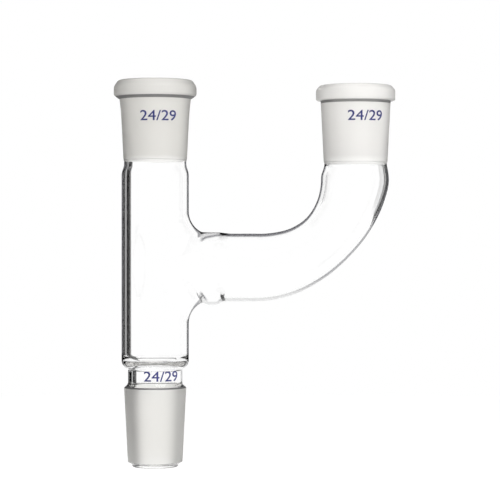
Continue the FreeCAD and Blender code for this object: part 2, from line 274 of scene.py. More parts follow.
def arm_r(along):
    """Outer radius of the arm by a smooth curve through its stations."""
    place = along / MM
    last = len(arm_stations) - 1
    index = 0
    while index < last - 1 and place > arm_stations[index + 1][0]:
        index += 1

    def slope(n):
        """Slope of the curve at a station, level at both ends."""
        if n in (0, last):
            return 0.0
        (before_s, before_r), (after_s, after_r) = arm_stations[n - 1], arm_stations[n + 1]
        return (after_r - before_r) / (after_s - before_s)

    (start_s, start_r), (end_s, end_r) = arm_stations[index], arm_stations[index + 1]
    length = end_s - start_s
    t = min(max((place - start_s) / length, 0), 1)
    value = (2 * t**3 - 3 * t**2 + 1) * start_r + (3 * t**2 - 2 * t**3) * end_r
    value += (t**3 - 2 * t**2 + t) * length * slope(index)
    value += (t**3 - t**2) * length * slope(index + 1)
    return value * MM


def arm_place(along, angle, radius):
    """A point round the arm's centre line. Angle 0 is the side that faces up, then the tube."""
    bend = min(max((along - arm_run * MM) / bend_radius, 0), pi / 2)
    straight = min(along, arm_run * MM)
    upright = max(along - arm_run * MM - bend_radius * pi / 2, 0)
    centre_x = weld_x + straight + bend_radius * sin(bend)
    centre_z = branch_z + bend_radius * (1 - cos(bend)) + upright
    out = radius * cos(angle)
    return (centre_x - out * sin(bend), radius * sin(angle), centre_z + out * cos(bend))


arm_angles = [pi * n / HALF_ARM_COLUMNS for n in range(2 * HALF_ARM_COLUMNS)]


def ball_at(inset, angle):
    """Centre of the ball that rolls in the corner between tube and stub, and its two touches."""
    ball = root_round + inset
    swing = stub_r + root_round
    centre = Vector((0, swing * sin(angle), swing * cos(angle)))
    reach = tube_r + root_round
    centre.x = sqrt(reach**2 - centre.y**2)
    to_tube = Vector((centre.x, centre.y, 0)) * (-ball / reach)
    to_stub = Vector((0, centre.y, centre.z)) * (-ball / swing)
    return centre, to_tube, to_stub


def on_ball(centre, to_tube, to_stub, share):
    """A point of the rounded corner between the touch on the tube and the touch on the stub."""
    whole = to_tube.angle(to_stub)
    return centre + (to_tube * sin((1 - share) * whole) + to_stub * sin(share * whole)) / sin(whole)


def share_at(centre, to_tube, to_stub, x):
    """How far round the rounded corner a given x lies."""
    whole = to_tube.angle(to_stub)
    return 1 - asin(min((centre.x - x) / -to_tube.x * sin(whole), 1)) / whole


def stub_place(inset, angle, x):
    """A point of the root at a given x: on the rounded corner, or past it on the straight arm."""
    centre, to_tube, to_stub = ball_at(inset, angle)
    if x < centre.x:
        place = on_ball(centre, to_tube, to_stub, share_at(centre, to_tube, to_stub, x))
        return Vector((x, place.y, place.z))
    radius = arm_r(max(x - weld_x, 0)) - inset
    return Vector((x, radius * sin(angle), radius * cos(angle)))


def root_place(inset, angle, by_share):
    """A point part of the way from the tube's opening to the weld ring."""
    centre, to_tube, to_stub = ball_at(inset, angle)
    end_x = ring_flat_start_x
    corner_end = 1.0 if centre.x < end_x else share_at(centre, to_tube, to_stub, end_x)
    corner_length = to_tube.angle(to_stub) * to_tube.length * corner_end
    straight_length = max(end_x - centre.x, 0)
    along = by_share * (corner_length + straight_length)
    if along <= corner_length:
        return on_ball(centre, to_tube, to_stub, corner_end * along / corner_length)
    return stub_place(inset, angle, centre.x + along - corner_length)


def root_row(inset, share):
    """A row round the arm's root, from the tube's opening at share 0 to the weld ring at share 1."""
    return [root_place(inset, angle, share) for angle in arm_angles]


def finished_arm(inset, places):
    """Places round the branch's own axis, with the weld ring on the outside, set at its height."""
    for place in places:
        y, z = (place.y, place.z) if inset else weld_ring(place.y, place.z, place.x)
        yield (place.x, y, branch_z + z)


ROOT_ROWS = 28
RING_ROWS = 24
ARM_STEP = 1.5 * MM


def raise_arm(inset, opening):
    """The arm's wall from the tube's opening to the groove under its socket."""
    rows = [opening]
    ring_rows_end = ring_end_x + ring_ease
    for n in range(1, ROOT_ROWS + 1):
        rows.append(add_ring(finished_arm(inset, root_row(inset, n / ROOT_ROWS))))
    for n in range(1, RING_ROWS + 1):
        x = ring_flat_start_x + (ring_rows_end - ring_flat_start_x) * n / RING_ROWS
        rows.append(add_ring(finished_arm(inset, [stub_place(inset, a, x) for a in arm_angles])))
    start = ring_rows_end - weld_x
    end = arm_stations[-1][0] * MM
    steps = ceil((end - start) / ARM_STEP)
    for n in range(1, steps + 1):
        along = start + (end - start) * n / steps
        rows.append(add_ring(arm_place(along, a, arm_r(along) - inset) for a in arm_angles))
    for lower, upper in zip(rows, rows[1:]):
        join_rows(lower, upper)
    return rows


# Outlines of the turned stretches, as corners of radius, height and rounding in millimetres.
TUBE_R = tube_r / MM
BORE_R = (tube_r - wall) / MM
NECK_R = neck_r / MM
NECK_BORE_R = (neck_r - wall) / MM
LIP_FOOT = -30.3
MAIN_TOP = 118.8
SIDE_TOP = 116.8
window_foot = (branch_z - stub_r - root_round) / MM
window_top = (branch_z + stub_r + root_round) / MM
foot_outside = [
    (8.35, LIP_FOOT, 0),
    (8.95, LIP_FOOT, 0.45),
    (8.95, -29.4, 0.4),
    (10.58, -28.4, 0.3),
    (12.0, 0.0, 0.2),
    (11.65, 0.5, 0.1),
    (NECK_R, 1.14, 2.2),
    *sideways(NECK_R, 6.6, TUBE_R, 1.2, 3.2),
    (TUBE_R, window_foot, 0),
]
top_outside = [
    (TUBE_R, window_top, 0),
    *sideways(TUBE_R, None, 12.0, 6.6, 6.6, end_z=main_groove_z / MM),
    (12.0, 87.62, 3.0),
    (12.28, 88.4, 3.0),
    (13.239, 107.62, 90.0),
    (13.795, 111.7, 0.25),
    (14.2, 111.7, 0.6),
    (15.98, 113.05, 1.2),
    (15.98, 116.3, 3.0),
    (14.3, MAIN_TOP, 1.4),
    (12.9, MAIN_TOP, 0),
]
foot_inside = [
    (8.35, LIP_FOOT, 0),
    (7.75, LIP_FOOT, 0.45),
    (7.75, -29.4, 1.5),
    (8.38, -27.2, 3.0),
    *sideways(9.8, -2.2, NECK_BORE_R, 1.8, 1.8),
    *sideways(NECK_BORE_R, 8.6, BORE_R, 1.6, 4.0),
    (BORE_R, window_foot, 0),
]
top_inside = [
    (BORE_R, window_top, 0),
    *sideways(BORE_R, None, 10.4, 6.6, 6.6, end_z=main_groove_z / MM),
    (10.4, 86.9, 2.0),
    (11.975, 118.3, 0.3),
    (12.5, MAIN_TOP, 0.2),
    (12.9, MAIN_TOP, 0),
]
side_outside = [
    (ARM_GROOVE_R, side_groove_z / MM, 0),
    (ARM_GROOVE_R, 86.7, 3.0),
    (12.345, 87.5, 3.0),
    (13.46, 109.8, 60.0),
    (13.505, 110.9, 0.3),
    (14.8, 110.9, 0.3),
    (15.3, 111.3, 0.5),
    (15.3, 115.1, 2.0),
    (13.7, SIDE_TOP, 1.2),
    (12.9, SIDE_TOP, 0),
]
side_inside = [
    (10.465, side_groove_z / MM, 0),
    (11.975, 116.3, 0.3),
    (12.5, SIDE_TOP, 0.2),
    (12.9, SIDE_TOP, 0),
]
# The narrow zones under each collar and at the top of the cone carry painted shade, a near-black
# ground finish.
foot_zones = [(-30.5, -29.3, LIP), (-28.6, 0.1, CONE), (0.05, 0.8, CREASE_SHADE), (1.3, 6.9, NECK),
              (6.55, 12.0, CORNER)]
main_zones = [(87.4, 111.5, MAIN_SOCKET), (111.3, 112.8, CREASE_SHADE), (112.4, 119.0, MAIN_SOCKET)]
side_zones = [(86.2, 110.2, SIDE_SOCKET), (109.6, 110.95, CREASE_SHADE), (110.85, 117.0, SIDE_SOCKET)]
main_bore_zones = [(87.0, 118.4, SOCKET_BORE)]
side_bore_zones = [(85.8, 116.4, SOCKET_BORE)]

on_side = {"axis_x": side_x, "start": -1, "columns": 2 * HALF_ARM_COLUMNS}
lip_ring = turned_ring(foot_outside[0][0] * MM, LIP_FOOT * MM)
main_rim = turned_ring(top_outside[-1][0] * MM, MAIN_TOP * MM)
side_rim = turned_ring(side_outside[-1][0] * MM, SIDE_TOP * MM, **on_side)


def raise_skin(inset, foot, top, side, foot_finishes, main_finishes, side_finishes):
    """One skin of the wall, outside or bore, from the lip at the foot up to both rims."""
    rows = [lip_ring]
    raise_rows(eased(foot)[:-1], rows, foot_finishes)
    window, opening = window_rows(inset)
    join_rows(rows[-1], window[0])
    rows = [window[-1]]
    raise_rows(eased(top)[:-1], rows, main_finishes)
    join_rows(rows[-1], main_rim, MAIN_SOCKET)
    rows = raise_arm(inset, opening)
    raise_rows(eased(side)[:-1], rows, side_finishes, **on_side)
    join_rows(rows[-1], side_rim, SIDE_SOCKET)


raise_skin(0.0, foot_outside, top_outside, side_outside, foot_zones, main_zones, side_zones)
outside_count = len(faces)
raise_skin(wall, foot_inside, top_inside, side_inside, [], main_bore_zones, side_bore_zones)
for n in range(outside_count, len(faces)):
    if finishes[n] == CLEAR:
        finishes[n] = BORE

body_mesh = bpy.data.meshes.new("glass_body")
body_mesh.from_pydata([tuple(p) for p in points], [], faces)
body_mesh.polygons.foreach_set("material_index", finishes)
shell = bmesh.new()
shell.from_mesh(body_mesh)
bmesh.ops.recalc_face_normals(shell, faces=shell.faces[:])
shell.to_mesh(body_mesh)
shell.free()
body_mesh.polygons.foreach_set("use_smooth", [True] * len(body_mesh.polygons))
glass_body = bpy.data.objects.new("glass_body", body_mesh)
scene.collection.objects.link(glass_body)


def new_node(tree, kind, **settings):
    """A new node of a kind, with its settings."""
    node = tree.nodes.new(kind)
    for name, value in settings.items():
        setattr(node, name, value)
    return node


def wire(tree, node, **inputs):
    """Links or sets a node's inputs, by name with underscores for spaces, or by number as _0."""
    for name, value in inputs.items():
        socket = node.inputs[int(name[1:]) if name[1:].isdigit() else name.replace("_", " ")]
        if isinstance(value, bpy.types.NodeSocket):
            tree.links.new(value, socket)
        else:
            socket.default_value = value
    return node


def set_stops(ramp, stops):
    """Gives a colour ramp its stops of place and colour."""
    elements = ramp.color_ramp.elements
    while len(elements) > 1:
        elements.remove(elements[-1])
    elements[0].position, elements[0].color = stops[0]
    for place, colour in stops[1:]:
        elements.new(place).color = colour


def grey(level):
    """A neutral colour."""
    return (level, level, level, 1)


def new_group(name, inputs, outputs):
    """A shader node group with named inputs and outputs, and its two end nodes."""
    tree = bpy.data.node_groups.new(name, "ShaderNodeTree")
    for label, kind, value in inputs:
        tree.interface.new_socket(label, in_out="INPUT", socket_type=kind).default_value = value
    for label, kind in outputs:
        tree.interface.new_socket(label, in_out="OUTPUT", socket_type=kind)
    return tree, tree.nodes.new("NodeGroupInput"), tree.nodes.new("NodeGroupOutput")


# Painted shade in the colour of glass towards its outline, where the wall is seen along its
# length and looks darker. A wall that faces down gets painted light from the pale floor, so its
# outline stays lighter, and so does that of a thick bead of glass, with its painted dark line
# further in.
painted_edge_shade, takes, gives = new_group(
    "painted_edge_shade",
    [
        ("Facing", "NodeSocketFloat", 0.0),
        ("Start", "NodeSocketFloat", 0.6),
        ("Darkest", "NodeSocketFloat", 0.72),
        ("Wider", "NodeSocketFloat", 0.0),
        ("Shown", "NodeSocketFloat", 1.0),
        ("Bead", "NodeSocketFloat", 0.0),
        ("Bead Foot", "NodeSocketFloat", 0.0),
        ("Bead Rise", "NodeSocketFloat", 0.0),
        ("Normal", "NodeSocketVector", (0, 0, 0)),
        ("Inside", "NodeSocketFloat", 0.0),
        ("Colour", "NodeSocketColor", grey(1)),
        ("Edge Colour", "NodeSocketColor", grey(0.5)),
        ("Lit Edge Colour", "NodeSocketColor", grey(0.7)),
    ],
    [("Colour", "NodeSocketColor")],
)


# Where each step of the painted edge shade begins and ends. Facing is 0 where glass is seen
# straight on and 1 at its outline. Outward is 1 on top of the piece and -1 underneath.
STEEP = (0.3, 0.9)
TURNED_DOWN = (0.1, -0.1)
LIT_FROM_BELOW = (-0.75, -0.95)
BEAD_LINE = (0.44, 0.54)
BEAD_LIGHT = (0.58, 0.66)
BEAD_RISE = 0.14


def edge_shade_sum(operation, first, second):
    """The result of one sum in the painted edge shade."""
    node = new_node(painted_edge_shade, "ShaderNodeMath", operation=operation)
    return wire(painted_edge_shade, node, _0=first, _1=second).outputs[0]


def edge_shade_step(value, low, high):
    """Rises smoothly from 0 at low to 1 at high."""
    node = new_node(painted_edge_shade, "ShaderNodeMapRange", interpolation_type="SMOOTHSTEP")
    return wire(painted_edge_shade, node, Value=value, From_Min=low, From_Max=high).outputs[0]


upward = wire(painted_edge_shade, new_node(painted_edge_shade, "ShaderNodeSeparateXYZ"), Vector=takes.outputs["Normal"])
turned_over = wire(painted_edge_shade, new_node(painted_edge_shade, "ShaderNodeMapRange"),
                   Value=takes.outputs["Inside"], To_Min=1.0, To_Max=-1.0)
outward = edge_shade_sum("MULTIPLY", upward.outputs["Z"], turned_over.outputs["Result"])
steepness = edge_shade_sum("ABSOLUTE", outward, 0.0)
widened = edge_shade_sum("MULTIPLY", edge_shade_step(steepness, *STEEP), takes.outputs["Wider"])
reach = edge_shade_sum("ADD", takes.outputs["Facing"], widened)
whole_line = edge_shade_step(reach, takes.outputs["Start"], takes.outputs["Darkest"])
line = edge_shade_sum("MULTIPLY", whole_line, takes.outputs["Shown"])
foot_gap = edge_shade_sum("MULTIPLY", edge_shade_step(outward, *TURNED_DOWN), takes.outputs["Bead Foot"])
risen = edge_shade_sum("MULTIPLY", takes.outputs["Bead Rise"], BEAD_RISE)
bead_reach = edge_shade_sum("SUBTRACT", reach, risen)
whole_bead = edge_shade_sum("MULTIPLY", edge_shade_step(bead_reach, *BEAD_LINE), takes.outputs["Bead"])
bead_line = edge_shade_sum("MULTIPLY", whole_bead, edge_shade_sum("SUBTRACT", 1.0, foot_gap))
bead_light = edge_shade_sum("MULTIPLY", edge_shade_step(bead_reach, *BEAD_LIGHT), takes.outputs["Bead"])
lit_edge = edge_shade_sum("MAXIMUM", edge_shade_step(outward, *LIT_FROM_BELOW), bead_light)
edge = wire(painted_edge_shade, new_node(painted_edge_shade, "ShaderNodeMix", data_type="RGBA"),
            _0=lit_edge, _6=takes.outputs["Edge Colour"], _7=takes.outputs["Lit Edge Colour"])
shaded = wire(painted_edge_shade, new_node(painted_edge_shade, "ShaderNodeMix", data_type="RGBA"),
              _0=edge_shade_sum("MAXIMUM", line, bead_line), _6=takes.outputs["Colour"],
              _7=edge.outputs[2])
wire(painted_edge_shade, gives, Colour=shaded.outputs[2])

# Slight waves of hand-worked glass, and faint mottling of a ground face, as a height.
hand_work, takes, gives = new_group(
    "hand_work",
    [("Scale", "NodeSocketFloat", 60.0), ("Stretch", "NodeSocketVector", (1, 1, 0.25))],
    [("Height", "NodeSocketFloat")],
)
on_piece = new_node(hand_work, "ShaderNodeTexCoord")
stretched = wire(hand_work, new_node(hand_work, "ShaderNodeVectorMath", operation="MULTIPLY"),
                 _0=on_piece.outputs["Object"], _1=takes.outputs["Stretch"])
noise = wire(hand_work, new_node(hand_work, "ShaderNodeTexNoise"),
             Vector=stretched.outputs[0], Scale=takes.outputs["Scale"], Detail=2.0)
wire(hand_work, gives, Height=noise.outputs["Fac"])


def use_group(tree, group, **inputs):
    """Places a node group in a material."""
    return wire(tree, new_node(tree, "ShaderNodeGroup", node_tree=group), **inputs)


def glass_finish(name, shadow):
    """The body's next finish, glass that casts only a pale shadow. Gives its tree and its shader."""
    material = bpy.data.materials.new(name)
    glass_body.data.materials.append(material)
    material.use_nodes = True
    tree = material.node_tree
    shader = tree.nodes["Principled BSDF"]
    path = new_node(tree, "ShaderNodeLightPath")
    clear = wire(tree, new_node(tree, "ShaderNodeBsdfTransparent"), Color=grey(shadow))
    mix = wire(tree, new_node(tree, "ShaderNodeMixShader"), _0=path.outputs["Is Shadow Ray"],
               _1=shader.outputs["BSDF"], _2=clear.outputs["BSDF"])
    wire(tree, tree.nodes["Material Output"], Surface=mix.outputs["Shader"])
    return tree, shader


GLASS_IOR = 1.47
# Painted shade for the dark outline of clear glass, and painted light where the floor lights that
# outline from below.
EDGE_SHADE_COLOUR = (0.07, 0.07, 0.08, 1)
LIT_EDGE_COLOUR = grey(0.55)
SOCKET_FOOT_COLOUR = (0.93, 0.925, 0.91, 1)


def facing_edge_shade(tree, **inputs):
    """The painted edge shade, told how the surface lies to the line of sight."""
    facing = wire(tree, new_node(tree, "ShaderNodeLayerWeight"), Blend=0.5)
    surface = new_node(tree, "ShaderNodeNewGeometry")
    return use_group(tree, painted_edge_shade, Facing=facing.outputs["Facing"],
                     Normal=surface.outputs["Normal"], Inside=surface.outputs["Backfacing"], **inputs)


def stretch(tree, axis, starts, ends, fade):
    """Marks a stretch of the piece between two places on an axis, in millimetres."""
    place = wire(tree, new_node(tree, "ShaderNodeSeparateXYZ"),
                 Vector=new_node(tree, "ShaderNodeTexCoord").outputs["Object"])
    begun = wire(tree, new_node(tree, "ShaderNodeMapRange", interpolation_type="SMOOTHSTEP"),
                 Value=place.outputs[axis], From_Min=starts * MM, From_Max=(starts + fade) * MM)
    ended = wire(tree, new_node(tree, "ShaderNodeMapRange", interpolation_type="SMOOTHSTEP"),
                 Value=place.outputs[axis], From_Min=ends * MM, From_Max=(ends - fade) * MM)
    return wire(tree, new_node(tree, "ShaderNodeMath", operation="MULTIPLY"),
                _0=begun.outputs["Result"], _1=ended.outputs["Result"]).outputs[0]


# Stretches of the piece along x, and the sockets' foot along z: start, end and fade in millimetres.
LEFT_SIDE = (-30.0, -4.0, 3.0)
ARM_ROOT = (12.0, 20.0, 2.0)
RING = (17.0, 26.5, 1.5)
RING_FOOT = (19.5, 25.5, 1.5)
RING_SLOPE = (18.0, 34.0, 8.0)
BEND_OUTSIDE = (side_x / MM + 6, side_x / MM + 30, 3.0)
SOCKET_FOOT = (80.0, 89.8, 2.4)


def clear_finish(name, shadow, **shade_inputs):
    """Clear glass with faint waves and painted shade towards its outline. Gives its tree and its edge
    shade.
    """
    tree, shader = glass_finish(name, shadow)
    waves = use_group(tree, hand_work, Scale=90.0)
    bump = wire(tree, new_node(tree, "ShaderNodeBump"), Height=waves.outputs["Height"],
                Strength=0.05, Distance=0.2 * MM)
    edge_shade = facing_edge_shade(tree, **shade_inputs)
    wire(tree, shader, Base_Color=edge_shade.outputs["Colour"], Roughness=0.0, IOR=GLASS_IOR,
         Transmission_Weight=1.0, Normal=bump.outputs["Normal"])
    return tree, edge_shade


def ground_finish(name, colour, edge_share, start, darkest):
    """Ground glass, pale and matte, with painted shade at its outlines, and paler still at a socket's
    foot.
    """
    tree, shader = glass_finish(name, shadow=0.75)
    edge_shade_colour = tuple(part * edge_share for part in colour[:3]) + (1,)
    faded = wire(tree, new_node(tree, "ShaderNodeMix", data_type="RGBA"),
                 _0=stretch(tree, "Z", *SOCKET_FOOT), _6=colour, _7=SOCKET_FOOT_COLOUR)
    edge_shade = facing_edge_shade(tree, Start=start, Darkest=darkest, Colour=faded.outputs[2],
                       Edge_Colour=edge_shade_colour, Lit_Edge_Colour=edge_shade_colour)
    grain = use_group(tree, hand_work, Scale=2600.0, Stretch=(1, 1, 1))
    bump = wire(tree, new_node(tree, "ShaderNodeBump"), Height=grain.outputs["Height"],
                Strength=0.3, Distance=0.05 * MM)
    wire(tree, shader, Base_Color=edge_shade.outputs["Colour"], Roughness=0.55, IOR=GLASS_IOR,
         Transmission_Weight=0.6, Normal=bump.outputs["Normal"])


# The finishes, in the order of their numbers. The outside's painted dark line is wider along the top
# and the underside of the arm, most of all at its root, and the weld ring has the painted dark and
# light lines of a bead.
LINE_WIDENING = 0.1
tree, edge_shade = clear_finish("clear_glass", shadow=0.9, Start=0.62, Darkest=0.72,
                          Edge_Colour=EDGE_SHADE_COLOUR, Lit_Edge_Colour=LIT_EDGE_COLOUR)
shade_line_width = wire(tree, new_node(tree, "ShaderNodeMath", operation="MULTIPLY_ADD"),
                  _0=stretch(tree, "X", *ARM_ROOT), _1=LINE_WIDENING, _2=LINE_WIDENING)
wire(tree, edge_shade, Wider=shade_line_width.outputs[0], Bead=stretch(tree, "X", *RING),
     Bead_Foot=stretch(tree, "X", *RING_FOOT), Bead_Rise=stretch(tree, "X", *RING_SLOPE))

# Painted shade for a studio that is darker to both sides: the bore has a dark line of its own at
# the left of the tube, and a fainter one in the outside of the bend, and the neck has a dark left
# edge.
BEND_LINE_SHARE = 0.5
tree, edge_shade = clear_finish("clear_bore", shadow=1.0, Start=0.415, Darkest=0.49,
                          Edge_Colour=grey(0), Lit_Edge_Colour=grey(0))
painted_bore_shade = wire(tree, new_node(tree, "ShaderNodeMath", operation="MULTIPLY_ADD"),
                  _0=stretch(tree, "X", *BEND_OUTSIDE), _1=BEND_LINE_SHARE,
                  _2=stretch(tree, "X", *LEFT_SIDE))
wire(tree, edge_shade, Shown=painted_bore_shade.outputs[0])
tree, edge_shade = clear_finish("clear_neck", shadow=0.9, Start=0.44, Darkest=0.56,
                          Edge_Colour=grey(0.03), Lit_Edge_Colour=grey(0.03))
wire(tree, edge_shade, Shown=stretch(tree, "X", *LEFT_SIDE))
clear_finish("clear_corner", shadow=0.9, Shown=0.0)
# The lip's outline has painted shade, with painted light where it faces down.
clear_finish("clear_lip", shadow=0.9, Start=0.1, Darkest=0.6, Edge_Colour=grey(0.1),
             Lit_Edge_Colour=grey(0.3))
ground_finish("ground_cone", (0.84, 0.83, 0.8, 1), edge_share=0.6, start=0.03, darkest=0.38)
ground_finish("ground_bore", (0.97, 0.965, 0.95, 1), edge_share=0.9, start=0.25, darkest=0.8)
# Both sockets are one ground glass; the main socket's darker grey is painted shade.
ground_finish("main_socket", (0.67, 0.66, 0.635, 1), edge_share=0.6, start=0.25, darkest=0.8)
ground_finish("side_socket", (0.79, 0.78, 0.765, 1), edge_share=0.68, start=0.25, darkest=0.8)
# Painted shade: near-black ground glass under each collar and at the top of the cone.
ground_finish("painted_crease_shade", grey(0.12), edge_share=0.6, start=0.03, darkest=0.38)

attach(glass_body, "root")
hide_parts("adapter_body")


# Size marks. The joint's width and length in millimetres, printed in dark blue enamel on the front
# of each socket and of the neck, and fired on. Each is a thin skin that follows the round wall.
MARK_TEXT = "24/29"
DIGIT_HEIGHT = 3.85 * MM
LETTER_STRETCH = 1.17
STROKE_SPREAD = 0.055 * MM
DIGIT_SHARE = 0.7
MARK_LIFT = 0.012 * MM
MARK_THICKNESS = 0.03 * MM

mark_tree = bpy.data.node_groups.new("size_mark", "GeometryNodeTree")
for label, kind in (("Text", "String"), ("Size", "Float"), ("Radius", "Float"), ("Slope", "Float"),
                    ("Turn", "Float"), ("Axis", "Vector"), ("Lift", "Float"),
                    ("Thickness", "Float"), ("Finish", "Material")):
    mark_tree.interface.new_socket(label, in_out="INPUT", socket_type="NodeSocket" + kind)
mark_tree.interface.new_socket("Geometry", in_out="OUTPUT", socket_type="NodeSocketGeometry")
takes = mark_tree.nodes.new("NodeGroupInput").outputs
gives = mark_tree.nodes.new("NodeGroupOutput")


def mark_node(kind, **settings):
    """A node of the size mark's tree."""
    return new_node(mark_tree, kind, **settings)


def mark_sum(operation, first, second):
    """The result of one sum on two numbers or outputs."""
    node = mark_node("ShaderNodeMath", operation=operation)
    return wire(mark_tree, node, _0=first, _1=second).outputs[0]


letters = mark_node("GeometryNodeStringToCurves", align_x="CENTER", align_y="MIDDLE")
wire(mark_tree, letters, String=takes["Text"], Size=takes["Size"])
laid = wire(mark_tree, mark_node("GeometryNodeRealizeInstances"),
            Geometry=letters.outputs["Curve Instances"])
wide = wire(mark_tree, mark_node("GeometryNodeTransform"), Geometry=laid.outputs["Geometry"],
            Scale=(LETTER_STRETCH, 1, 1))
traced = wire(mark_tree, mark_node("GeometryNodeResampleCurve", mode="EVALUATED"),
              Curve=wide.outputs["Geometry"])
across = wire(mark_tree, mark_node("ShaderNodeVectorMath", operation="CROSS_PRODUCT"),
              _0=mark_node("GeometryNodeInputTangent").outputs["Tangent"], _1=(0, 0, 1))
spread = wire(mark_tree, mark_node("ShaderNodeVectorMath", operation="SCALE"),
              _0=across.outputs[0], Scale=STROKE_SPREAD)
bold = wire(mark_tree, mark_node("GeometryNodeSetPosition"), Geometry=traced.outputs["Curve"],
            Offset=spread.outputs[0])
filled = wire(mark_tree, mark_node("GeometryNodeFillCurve"), Curve=bold.outputs["Geometry"])
cut = wire(mark_tree, mark_node("GeometryNodeSubdivideMesh"), Mesh=filled.outputs["Mesh"], Level=1)
spot = wire(mark_tree, mark_node("ShaderNodeSeparateXYZ"),
            Vector=mark_node("GeometryNodeInputPosition").outputs["Position"])
wall_r = wire(mark_tree, mark_node("ShaderNodeMath", operation="MULTIPLY_ADD"),
              _0=spot.outputs["Y"], _1=takes["Slope"], _2=takes["Radius"])
skin_r = mark_sum("ADD", wall_r.outputs[0], takes["Lift"])
turn = mark_sum("ADD", mark_sum("DIVIDE", spot.outputs["X"], takes["Radius"]), takes["Turn"])
skin_x = mark_sum("MULTIPLY", mark_sum("SINE", turn, 0.0), skin_r)
skin_y = mark_sum("MULTIPLY", mark_sum("COSINE", turn, 0.0), mark_sum("MULTIPLY", skin_r, -1.0))
rolled = wire(mark_tree, mark_node("ShaderNodeCombineXYZ"), X=skin_x, Y=skin_y,
              Z=spot.outputs["Y"])
placed = wire(mark_tree, mark_node("ShaderNodeVectorMath", operation="ADD"),
              _0=rolled.outputs[0], _1=takes["Axis"])
skin = wire(mark_tree, mark_node("GeometryNodeSetPosition"), Geometry=cut.outputs["Mesh"],
            Position=placed.outputs[0])
raised = wire(mark_tree, mark_node("GeometryNodeExtrudeMesh"), Mesh=skin.outputs["Geometry"],
              Offset_Scale=takes["Thickness"], Individual=False)
backs = wire(mark_tree, mark_node("GeometryNodeFlipFaces"), Mesh=skin.outputs["Geometry"])
both = mark_node("GeometryNodeJoinGeometry")
mark_tree.links.new(raised.outputs["Mesh"], both.inputs[0])
mark_tree.links.new(backs.outputs["Mesh"], both.inputs[0])
merged = wire(mark_tree, mark_node("GeometryNodeMergeByDistance"),
              Geometry=both.outputs["Geometry"], Distance=0.002 * MM)
solid = wire(mark_tree, mark_node("GeometryNodeRealizeInstances"),
             Geometry=merged.outputs["Geometry"])
finished = wire(mark_tree, mark_node("GeometryNodeSetMaterial"),
                Geometry=solid.outputs["Geometry"], Material=takes["Finish"])
mark_tree.links.new(finished.outputs["Geometry"], gives.inputs["Geometry"])

size_enamel = bpy.data.materials.new("size_enamel")
size_enamel.use_nodes = True
tree = size_enamel.node_tree
mottle = use_group(tree, hand_work, Scale=900.0, Stretch=(1, 1, 1))
shade = new_node(tree, "ShaderNodeValToRGB")
set_stops(shade, [(0.35, (0.017, 0.021, 0.125, 1)), (0.65, (0.032, 0.037, 0.19, 1))])
wire(tree, shade, Fac=mottle.outputs["Height"])
wire(tree, tree.nodes["Principled BSDF"], Base_Color=shade.outputs["Color"], Roughness=0.45)


def size_mark(name, radius, slope, turn, place_x, place_z):
    """Makes one mark as a plain mesh. Its wall has a radius at the mark's middle and a slope."""
    carrier = bpy.data.objects.new(name, bpy.data.meshes.new(name))
    scene.collection.objects.link(carrier)
    modifier = carrier.modifiers.new("size_mark", "NODES")
    modifier.node_group = mark_tree
    values = {
        "Text": MARK_TEXT, "Size": DIGIT_HEIGHT / DIGIT_SHARE, "Radius": radius, "Slope": slope,
        "Turn": turn, "Axis": (place_x, 0.0, place_z), "Lift": MARK_LIFT,
        "Thickness": MARK_THICKNESS, "Finish": size_enamel,
    }
    for item in mark_tree.interface.items_tree:
        if item.in_out == "INPUT":
            modifier[item.identifier] = values[item.name]
    bpy.context.view_layer.update()
    evaluated = carrier.evaluated_get(bpy.context.evaluated_depsgraph_get())
    mesh = bpy.data.meshes.new_from_object(evaluated)
    carrier.modifiers.clear()
    carrier.data = mesh
    mesh.name = name
    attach(carrier, "root")


size_mark("main_size_mark", radius=13.10 * MM, slope=0.06, turn=radians(8.4), place_x=0.0,
          place_z=104.4 * MM)
size_mark("side_size_mark", radius=13.22 * MM, slope=0.055, turn=radians(15), place_x=side_x,
          place_z=104.45 * MM)
size_mark("neck_size_mark", radius=neck_r + 0.01 * MM, slope=0.004, turn=radians(17.5), place_x=0.0,
          place_z=4.8 * MM)


# Floor. A plain pale round table, well below the piece, which is held by its cone. It is seen beside
# the glass and mirrored in it, and through the glass the white studio shows in place of it.
floor_z = -75 * MM
FLOOR_R = 0.9
FLOOR_SIDES = 96
FLOOR_GLOW = 0.46
floor_mesh = bpy.data.meshes.new("floor")
rim = [(FLOOR_R * cos(2 * pi * n / FLOOR_SIDES), FLOOR_R * sin(2 * pi * n / FLOOR_SIDES), floor_z)
       for n in range(FLOOR_SIDES)]
floor_mesh.from_pydata(rim, [], [list(range(FLOOR_SIDES))])
floor = bpy.data.objects.new("floor", floor_mesh)
scene.collection.objects.link(floor)
floor_finish = bpy.data.materials.new("pale_floor")
floor_finish.use_nodes = True
tree = floor_finish.node_tree
tree.nodes.remove(tree.nodes["Principled BSDF"])
path = new_node(tree, "ShaderNodeLightPath")
seen = wire(tree, new_node(tree, "ShaderNodeMath", operation="MAXIMUM"),
            _0=path.outputs["Is Camera Ray"], _1=path.outputs["Is Glossy Ray"])
glow = wire(tree, new_node(tree, "ShaderNodeMath", operation="MULTIPLY"),
            _0=seen.outputs[0], _1=FLOOR_GLOW)
shine = wire(tree, new_node(tree, "ShaderNodeEmission"), Color=grey(1), Strength=glow.outputs[0])
matte = wire(tree, new_node(tree, "ShaderNodeBsdfDiffuse"), Color=grey(0.8))
pale = wire(tree, new_node(tree, "ShaderNodeAddShader"), _0=shine.outputs[0], _1=matte.outputs[0])
unseen = wire(tree, new_node(tree, "ShaderNodeBsdfTransparent"), Color=grey(1))
mix = wire(tree, new_node(tree, "ShaderNodeMixShader"), _0=path.outputs["Is Transmission Ray"],
           _1=pale.outputs[0], _2=unseen.outputs[0])
wire(tree, tree.nodes["Material Output"], Surface=mix.outputs["Shader"])
floor.data.materials.append(floor_finish)


